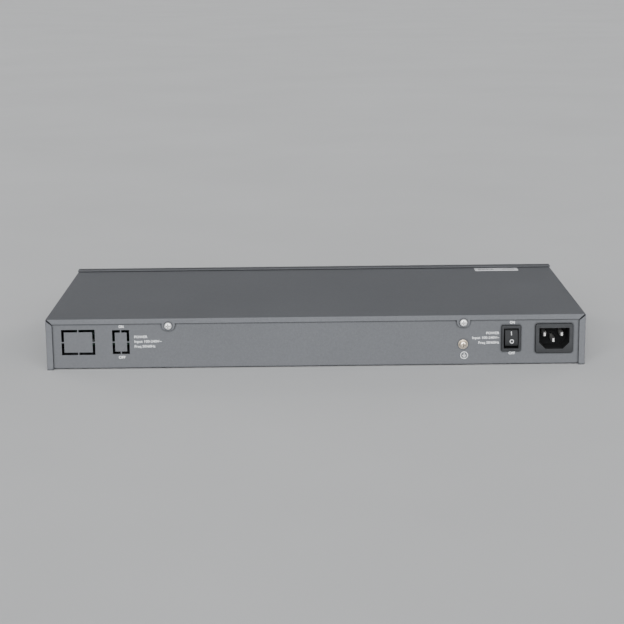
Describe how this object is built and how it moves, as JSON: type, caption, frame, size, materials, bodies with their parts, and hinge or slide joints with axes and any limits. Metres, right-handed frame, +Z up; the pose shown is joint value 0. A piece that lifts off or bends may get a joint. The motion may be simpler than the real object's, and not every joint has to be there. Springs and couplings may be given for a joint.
{
  "type": "rackmount network switch",
  "caption": "Flat rackmount network switch: folded steel case with mains inlet, rocker switch, earth screw and knock-outs at the rear, stacked network jacks and optics ports at the front.",
  "frame": {"origin": "centre of the bounding box at its underside", "axes": "+X along the width, to the right seen from the ports; +Y from the port face (front) to the mains panel (rear); +Z up"},
  "size_m": [0.44, 0.2076, 0.044],
  "materials": {
    "cover_paint": "fine-grain dark grey powder coat",
    "tray_paint": "fine-grain dark grey powder coat",
    "front_paint": "fine-grain dark grey powder coat",
    "screw_metal": "bright zinc plate",
    "earth_metal": "yellow zinc plate",
    "inlet_plastic": "moulded black, semi-matt",
    "switch_plastic": "moulded black, semi-matt",
    "rocker_plastic": "moulded black, semi-matt",
    "pin_metal": "nickel plate",
    "label_film": "grey label film, satin",
    "jack_shell": "tinned shell over plastic",
    "cage_metal": "tinned steel",
    "light_pipe": "clear moulding",
    "button_plastic": "moulded black",
    "board_laminate": "green solder mask",
    "chip_epoxy": "black epoxy",
    "sink_alloy": "extruded",
    "ferrite": "sintered, matt",
    "winding_tape": "yellow tape",
    "choke_wire": "enamelled copper",
    "capacitor_sleeve": "shrink sleeve",
    "capacitor_can": "bare can",
    "fuse_body": "ceramic tube",
    "header_nylon": "natural nylon",
    "insulating_film": "translucent film",
    "wire_brown": "insulation",
    "wire_blue": "insulation",
    "wire_earth": "insulation",
    "wire_red": "insulation",
    "wire_black": "insulation"
  },
  "bodies": {
    "case": {"base_tray": "tray_paint", "top_cover": "cover_paint", "front_panel": "front_paint", "cover_label": "label_film", "cover_screw_rear_left": "screw_metal", "cover_screw_rear_right": "screw_metal", "cover_screw_side_left": "screw_metal", "cover_screw_side_right": "screw_metal", "earth_screw": "earth_metal", "earth_washer": "earth_metal", "earth_nut": "earth_metal", "inlet_housing": "inlet_plastic", "inlet_pin_line": "pin_metal", "inlet_pin_neutral": "pin_metal", "inlet_pin_earth": "pin_metal", "switch_body": "switch_plastic", "switch_terminal_live": "pin_metal", "switch_terminal_switched": "pin_metal", "jack_block_left": "jack_shell", "jack_block_middle": "jack_shell", "jack_block_right": "jack_shell", "optics_cage": "cage_metal", "indicator_light_pipe": "light_pipe", "reset_switch_body": "button_plastic", "main_board": "board_laminate", "supply_board": "board_laminate", "insulating_sheet": "insulating_film", "main_board_screw_1": "screw_metal", "main_board_screw_2": "screw_metal", "main_board_screw_3": "screw_metal", "main_board_screw_4": "screw_metal", "supply_board_screw_1": "screw_metal", "supply_board_screw_2": "screw_metal", "transformer_core": "ferrite", "transformer_winding": "winding_tape", "bulk_capacitor": "capacitor_sleeve", "output_capacitor_1": "capacitor_sleeve", "output_capacitor_2": "capacitor_sleeve", "primary_heat_sink": "sink_alloy", "secondary_heat_sink": "sink_alloy", "line_choke": "choke_wire", "mains_fuse": "fuse_body", "mains_header": "header_nylon", "supply_output_header": "header_nylon", "board_power_header": "header_nylon", "switch_chip": "chip_epoxy", "switch_chip_heat_sink": "sink_alloy", "port_chip": "chip_epoxy", "port_chip_heat_sink": "sink_alloy", "memory_chip": "chip_epoxy", "power_inductor": "ferrite", "board_capacitor": "capacitor_can", "wire_live": "wire_brown", "wire_switched": "wire_brown", "wire_neutral": "wire_blue", "wire_earth": "wire_earth", "wire_supply_positive": "wire_red", "wire_supply_return": "wire_black"},
    "rocker": {"switch_rocker": "rocker_plastic"},
    "reset": {"reset_button": "button_plastic"}
  },
  "joints": [
    {"name": "rocker_hinge", "type": "hinge", "parent": "case", "child": "rocker", "pos_m": [-0.1593, 0.09688, 0.0227], "axis": [1, 0, 0], "range_deg": [-22, 0]},
    {"name": "reset_slide", "type": "slide", "parent": "case", "child": "reset", "axis": [0, 1, 0], "range_m": [0, 0.0015], "stiffness_N_per_m": 400, "springref_m": -0.001}
  ]
}
